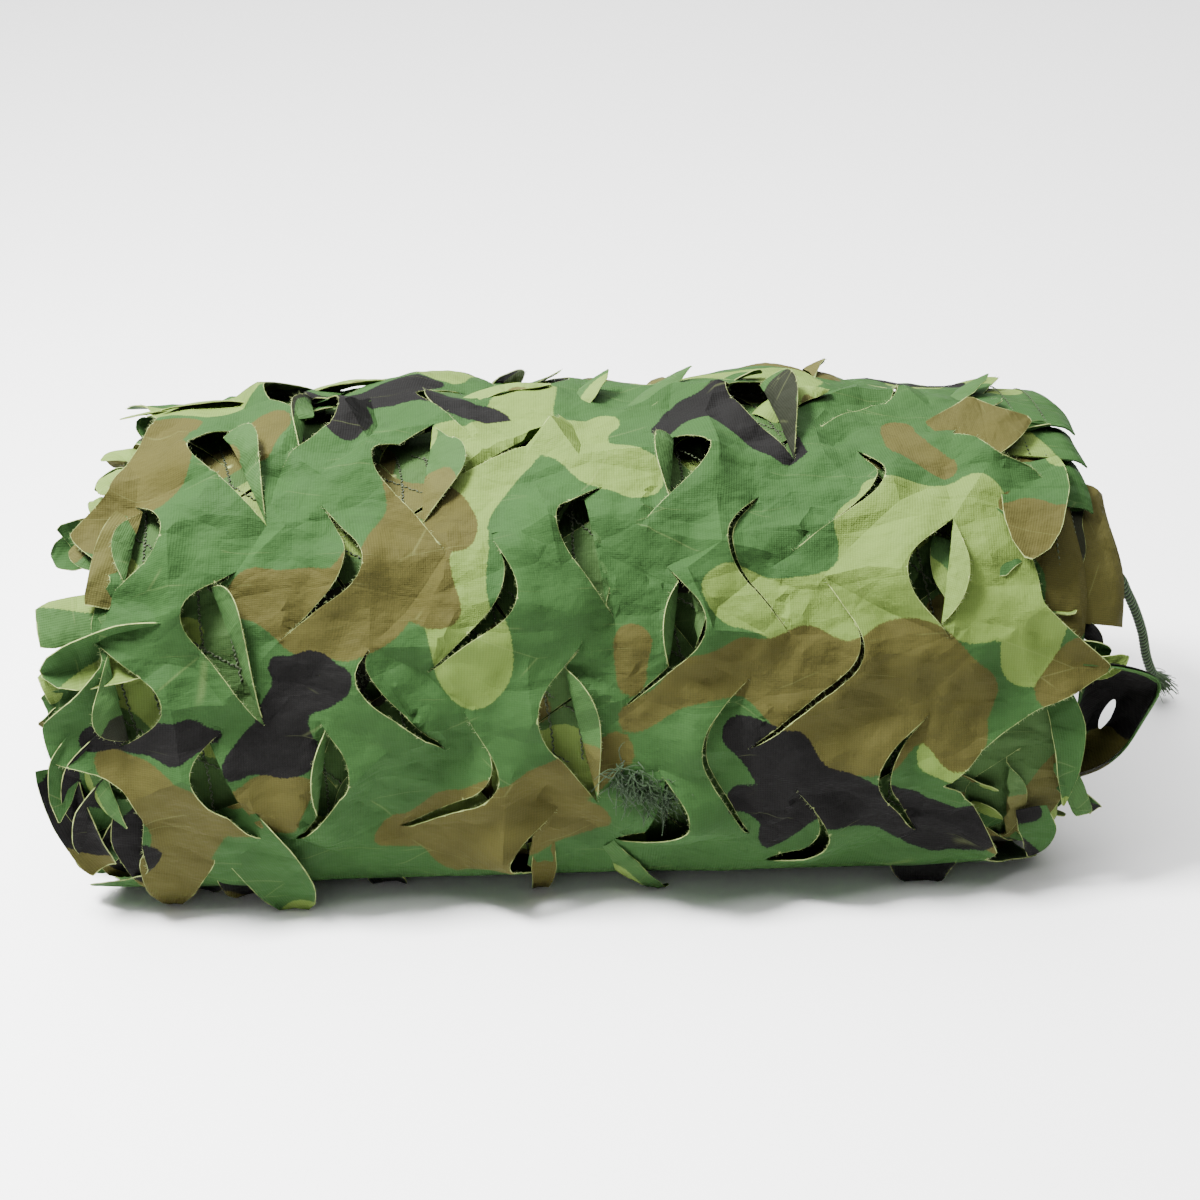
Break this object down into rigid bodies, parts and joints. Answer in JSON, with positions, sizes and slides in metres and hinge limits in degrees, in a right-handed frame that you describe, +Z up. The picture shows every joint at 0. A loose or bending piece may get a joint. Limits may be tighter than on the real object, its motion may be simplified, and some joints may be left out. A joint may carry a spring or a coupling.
{
  "type": "rolled camouflage net",
  "caption": "Camouflage net of leaf-cut cloth, folded and rolled into a flattened bundle, with a hem corner and a frayed cord end at one end.",
  "frame": {"origin": "on the surface it rests on, under the middle of the rolled net and its loose corner, the cord not counted", "axes": "+X along the roll towards the end with the cord, -Y the front in the picture, +Z up"},
  "size_m": [0.572, 0.2728, 0.2118],
  "materials": {
    "net_cloth": "printed woven polyester in four woodland colours, slight sheen",
    "hem_cloth": "the same printed cloth, turned over and stitched",
    "cord": "dark green twisted cord, matte"
  },
  "bodies": {
    "root": {"rolled_net": "net_cloth", "loose_corner": "hem_cloth", "edge_cord": "cord", "cord_fray": "cord"}
  },
  "joints": []
}
